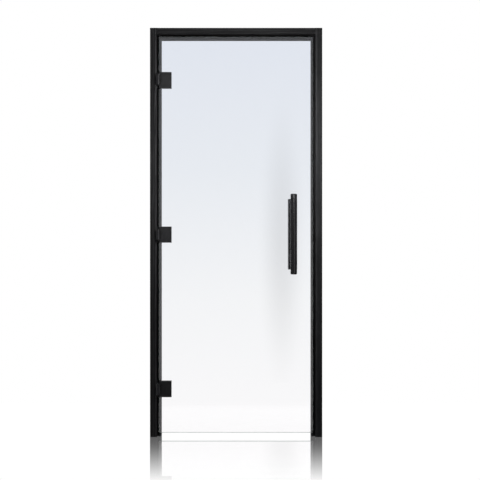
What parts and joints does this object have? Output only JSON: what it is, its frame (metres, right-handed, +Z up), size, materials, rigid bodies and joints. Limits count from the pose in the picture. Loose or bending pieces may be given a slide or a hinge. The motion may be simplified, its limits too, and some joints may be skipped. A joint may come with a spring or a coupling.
{
  "type": "glass sauna door in a timber frame",
  "caption": "Clear glass sauna door leaf on black clamp hinges in a black timber frame without a threshold, with a round pull handle outside and a flat grip inside.",
  "frame": {"origin": "foot of the hinge jamb's outer side face, at floor level and at mid-depth of the frame", "axes": "+X across the door to the latch side, +Y from the outside of the sauna to its inside, +Z up"},
  "size_m": [0.8, 0.124, 1.9],
  "materials": {
    "stained_timber": "black stain, satin",
    "handle_timber": "black stain, satin",
    "black_metal": "black powder coat",
    "clear_glass": "polished",
    "silicone_seal": "matte",
    "hinge_gasket": "matte"
  },
  "bodies": {
    "frame": {"hinge_jamb": "stained_timber", "latch_jamb": "stained_timber", "head_rail": "stained_timber", "hinge_side_seal": "silicone_seal", "latch_side_seal": "silicone_seal", "head_seal": "silicone_seal", "bottom_hinge_frame_leaf": "black_metal", "middle_hinge_frame_leaf": "black_metal", "top_hinge_frame_leaf": "black_metal", "bottom_hinge_pin": "black_metal", "middle_hinge_pin": "black_metal", "top_hinge_pin": "black_metal"},
    "leaf": {"glass_leaf": "clear_glass", "bottom_hinge_glass_plate": "black_metal", "middle_hinge_glass_plate": "black_metal", "top_hinge_glass_plate": "black_metal", "bottom_hinge_outer_gasket": "hinge_gasket", "middle_hinge_outer_gasket": "hinge_gasket", "top_hinge_outer_gasket": "hinge_gasket", "bottom_hinge_inner_gasket": "hinge_gasket", "middle_hinge_inner_gasket": "hinge_gasket", "top_hinge_inner_gasket": "hinge_gasket", "bottom_hinge_clamp_plate": "black_metal", "middle_hinge_clamp_plate": "black_metal", "top_hinge_clamp_plate": "black_metal", "bottom_hinge_clamp_screws": "black_metal", "middle_hinge_clamp_screws": "black_metal", "top_hinge_clamp_screws": "black_metal", "outer_grip": "handle_timber", "inner_grip": "handle_timber", "outer_posts": "black_metal", "inner_posts": "black_metal", "outer_washers": "black_metal", "inner_washers": "black_metal", "handle_studs": "black_metal"}
  },
  "joints": [
    {"name": "leaf_swing", "type": "hinge", "parent": "frame", "child": "leaf", "pos_m": [0.04, -0.0435, 0.94], "axis": [0, 0, -1], "range_deg": [0, 165]}
  ]
}
